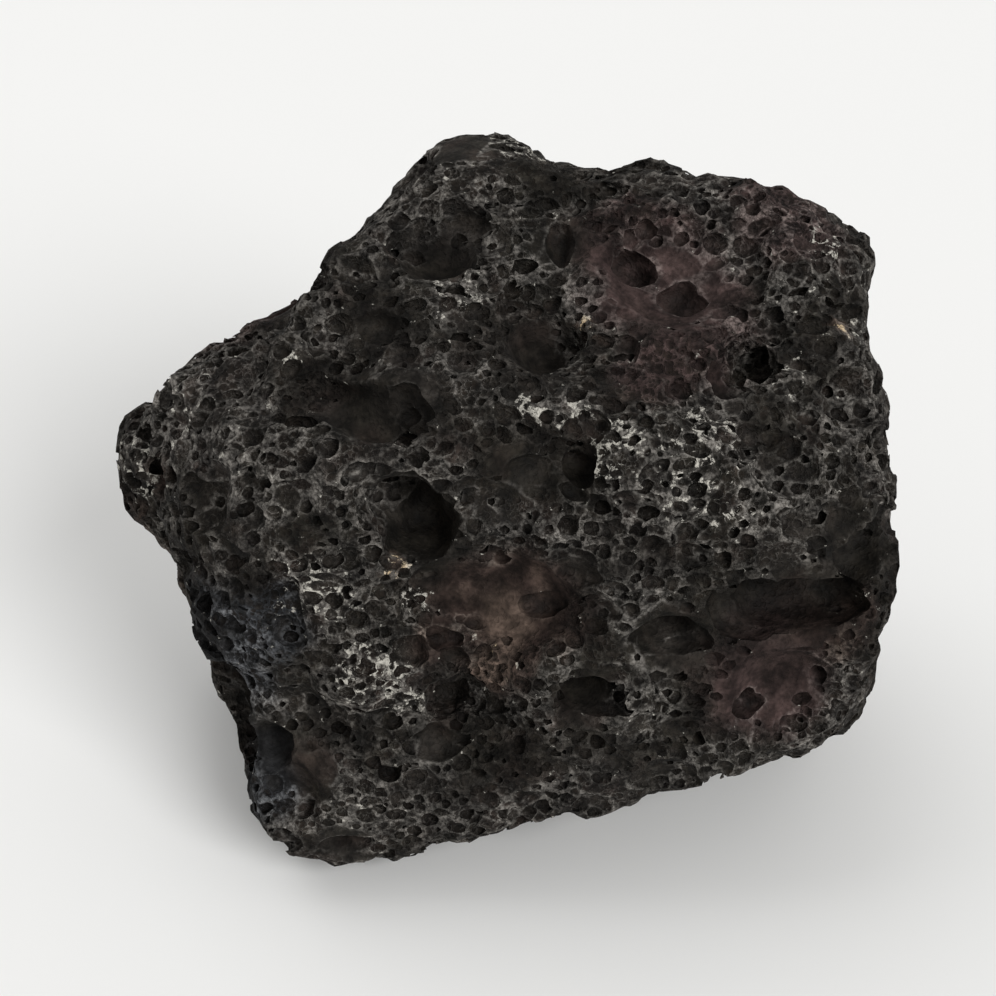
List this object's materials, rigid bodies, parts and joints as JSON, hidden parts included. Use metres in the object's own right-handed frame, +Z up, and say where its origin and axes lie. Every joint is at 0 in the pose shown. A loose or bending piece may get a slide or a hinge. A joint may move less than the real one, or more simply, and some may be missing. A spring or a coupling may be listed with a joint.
{
  "type": "lava rock",
  "caption": "Loose block of dark vesicular lava with a crown, a pointed shoulder and open gas-bubble hollows, resting flat on its broken base.",
  "frame": {"origin": "middle of the rock's outline in plan, on the surface that its flat base rests on", "axes": "+Z up, away from the base; -Y the way the face with the largest hollows looks; +X to the right of that face"},
  "size_m": [0.163, 0.1202, 0.1342],
  "materials": {
    "scoria": "rough, porous, charcoal grey with brown and mauve bubble walls and white mineral specks"
  },
  "bodies": {
    "root": {"lava_rock": "scoria"}
  },
  "joints": []
}
